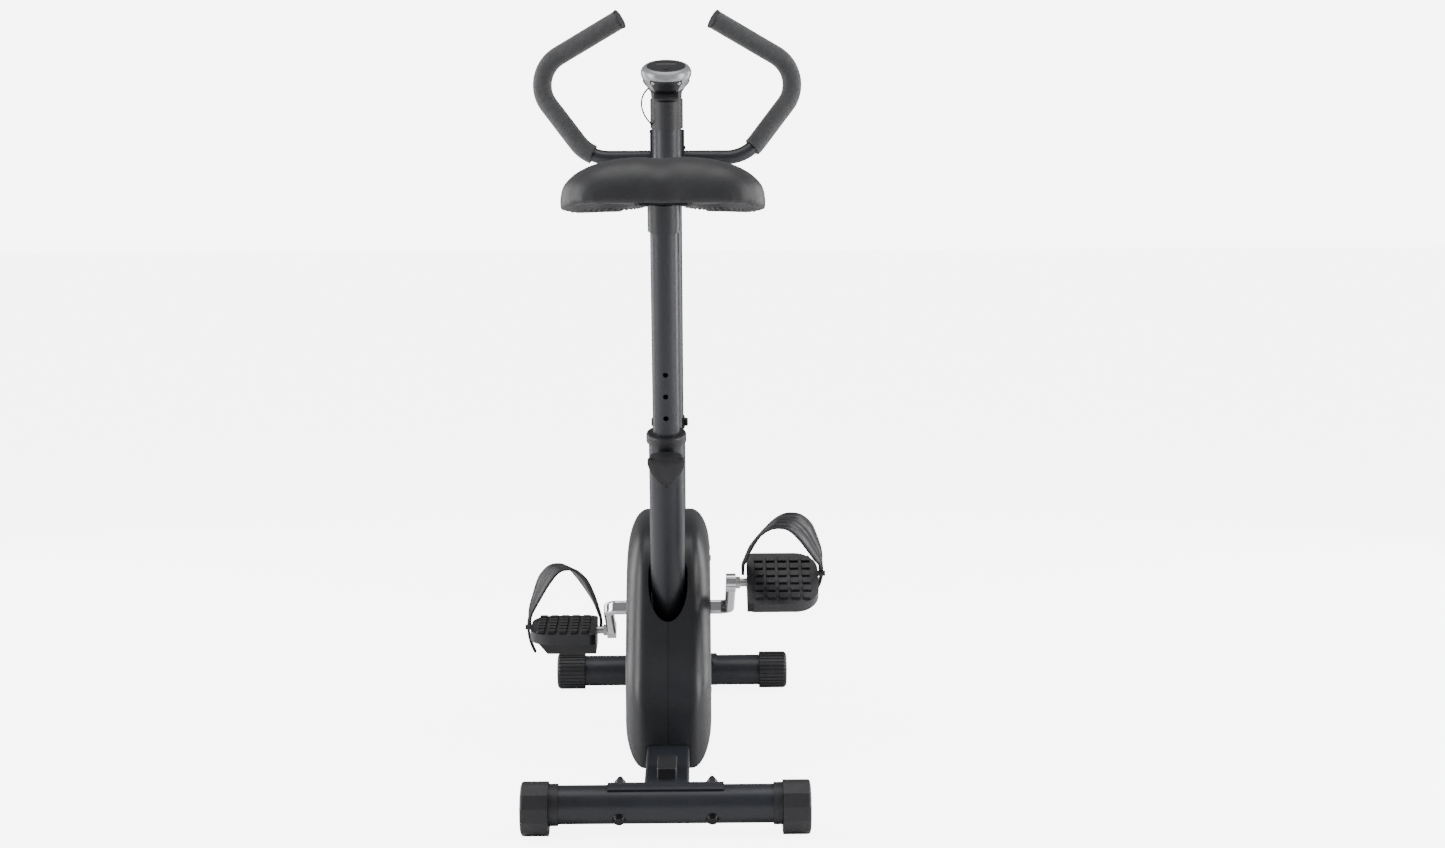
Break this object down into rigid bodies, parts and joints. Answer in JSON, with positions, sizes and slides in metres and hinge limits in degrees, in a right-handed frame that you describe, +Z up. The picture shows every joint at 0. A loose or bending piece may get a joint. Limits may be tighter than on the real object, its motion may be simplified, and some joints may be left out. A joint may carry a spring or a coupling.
{
  "type": "exercise bike",
  "caption": "Upright exercise bike with a belt-driven magnetic flywheel in a slim housing, sliding saddle, tilting curved handlebar and small console.",
  "frame": {"origin": "on the floor, under the middle of the bike's bounding box", "axes": "+Z up, +Y the way the rider faces, +X the rider's right"},
  "size_m": [0.45, 0.859, 1.1074],
  "materials": {
    "frame_paint": "satin powder coat",
    "black_plastic": "satin moulded plastic",
    "housing_plastic": "satin moulded plastic",
    "pedal_plastic": "moulded with a blocky tread",
    "strap_rubber": "ribbed soft PVC",
    "black_hardware": "black oxide",
    "zinc_steel": "zinc plated",
    "crank_chrome": "polished chrome",
    "cast_iron": "machined rim",
    "belt_rubber": "matt rubber",
    "cable_sheath": "smooth black sheath",
    "grip_foam": "fine closed-cell foam",
    "saddle_vinyl": "soft grained vinyl",
    "console_silver": "silver-grey paint",
    "display_glass": "dark liquid-crystal window"
  },
  "bodies": {
    "frame": {"base_beam": "frame_paint", "beam_block": "black_plastic", "rear_stabiliser": "frame_paint", "front_stabiliser": "frame_paint", "rear_plugs": "black_plastic", "roller_plugs": "black_plastic", "rear_bracket": "frame_paint", "front_bracket": "frame_paint", "stabiliser_bolts": "black_hardware", "stabiliser_nuts": "black_hardware", "seat_tube": "frame_paint", "seat_tube_bush": "black_plastic", "front_tube": "frame_paint", "front_post": "frame_paint", "post_bolts": "black_hardware", "bottom_bracket": "frame_paint", "bearing_cups": "zinc_steel", "flywheel_fork": "frame_paint", "flywheel_axle": "zinc_steel", "axle_nuts": "zinc_steel", "magnet_pin": "zinc_steel", "drive_belt": "belt_rubber", "speed_sensor": "black_plastic", "tension_plate": "black_plastic", "tension_cable": "cable_sheath", "housing_left": "housing_plastic", "housing_right": "housing_plastic", "housing_screws": "black_hardware", "handlebar_clamp": "frame_paint", "post_sleeve": "black_plastic", "console_shell": "console_silver", "console_face": "black_plastic", "console_display": "display_glass", "sensor_lead": "cable_sheath"},
    "cap_left": {"levelling_cap_left": "black_plastic"},
    "cap_right": {"levelling_cap_right": "black_plastic"},
    "roller_left": {"roller_left": "black_plastic"},
    "roller_right": {"roller_right": "black_plastic"},
    "seat": {"seat_post": "frame_paint", "saddle_plate": "frame_paint", "saddle_pan": "black_plastic", "saddle_cushion": "saddle_vinyl"},
    "seat_pin": {"seat_pin": "black_plastic"},
    "handlebar": {"handlebar": "frame_paint", "handlebar_grips": "grip_foam", "grip_caps": "black_plastic"},
    "clamp_lever": {"clamp_lever": "black_plastic"},
    "mode_button": {"mode_button": "black_plastic"},
    "tension_knob": {"tension_knob": "black_plastic"},
    "magnet_carrier": {"magnet_bracket": "frame_paint", "brake_magnets": "zinc_steel"},
    "crank": {"crank": "crank_chrome", "crank_pulley": "black_plastic", "pedal_spindles": "zinc_steel"},
    "flywheel": {"flywheel": "cast_iron", "flywheel_pulley": "cast_iron"},
    "pedal_left": {"pedal_left": "pedal_plastic", "strap_left": "strap_rubber"},
    "pedal_right": {"pedal_right": "pedal_plastic", "strap_right": "strap_rubber"}
  },
  "joints": [
    {"name": "cap_left_turn", "type": "hinge", "parent": "frame", "child": "cap_left", "pos_m": [-0.169, -0.39565, 0.0389], "axis": [1, 0, 0], "range_deg": [-90, 90]},
    {"name": "cap_right_turn", "type": "hinge", "parent": "frame", "child": "cap_right", "pos_m": [0.169, -0.39565, 0.0389], "axis": [1, 0, 0], "range_deg": [-90, 90]},
    {"name": "roller_left_roll", "type": "hinge", "parent": "frame", "child": "roller_left", "pos_m": [-0.168, 0.39935, 0.0302], "axis": [1, 0, 0], "continuous": true},
    {"name": "roller_right_roll", "type": "hinge", "parent": "frame", "child": "roller_right", "pos_m": [0.168, 0.39935, 0.0302], "axis": [1, 0, 0], "continuous": true},
    {"name": "seat_slide", "type": "slide", "parent": "frame", "child": "seat", "axis": [0, -0.284, 0.9588], "range_m": [-0.13, 0.065]},
    {"name": "seat_pin_pull", "type": "slide", "parent": "frame", "child": "seat_pin", "axis": [0, -0.9588, -0.284], "range_m": [0, 0.01], "stiffness_N_per_m": 800, "springref_m": -0.004},
    {"name": "handlebar_tilt", "type": "hinge", "parent": "frame", "child": "handlebar", "pos_m": [0, 0.25235, 0.88], "axis": [1, 0, 0], "range_deg": [-20, 20]},
    {"name": "clamp_lever_turn", "type": "hinge", "parent": "frame", "child": "clamp_lever", "pos_m": [0, 0.25235, 0.908], "axis": [0, 1, 0], "range_deg": [-150, 150]},
    {"name": "mode_button_press", "type": "slide", "parent": "frame", "child": "mode_button", "axis": [0, 0.4067, -0.9135], "range_m": [0, 0.0008], "stiffness_N_per_m": 200},
    {"name": "tension_turn", "type": "hinge", "parent": "frame", "child": "tension_knob", "pos_m": [0, 0.22724, 0.75367], "axis": [0, -0.9744, -0.225], "range_deg": [0, 270]},
    {"name": "magnet_swing", "type": "hinge", "parent": "frame", "child": "magnet_carrier", "pos_m": [0, 0.0951, 0.26192], "axis": [1, 0, 0], "range_deg": [0, 9]},
    {"name": "crank_spin", "type": "hinge", "parent": "frame", "child": "crank", "pos_m": [0, 0.02007, 0.2135], "axis": [1, 0, 0], "continuous": true},
    {"name": "flywheel_spin", "type": "hinge", "parent": "frame", "child": "flywheel", "pos_m": [0, 0.17607, 0.172], "axis": [1, 0, 0], "continuous": true},
    {"name": "pedal_left_spin", "type": "hinge", "parent": "crank", "child": "pedal_left", "pos_m": [-0.1635, 0.14643, 0.15323], "axis": [1, 0, 0], "continuous": true},
    {"name": "pedal_right_spin", "type": "hinge", "parent": "crank", "child": "pedal_right", "pos_m": [0.1635, -0.10629, 0.27377], "axis": [1, 0, 0], "continuous": true}
  ],
  "couplings": [
    {"joint": "magnet_swing", "follows": "tension_turn", "ratio": 0.033333},
    {"joint": "flywheel_spin", "follows": "crank_spin", "ratio": 3.9714}
  ]
}
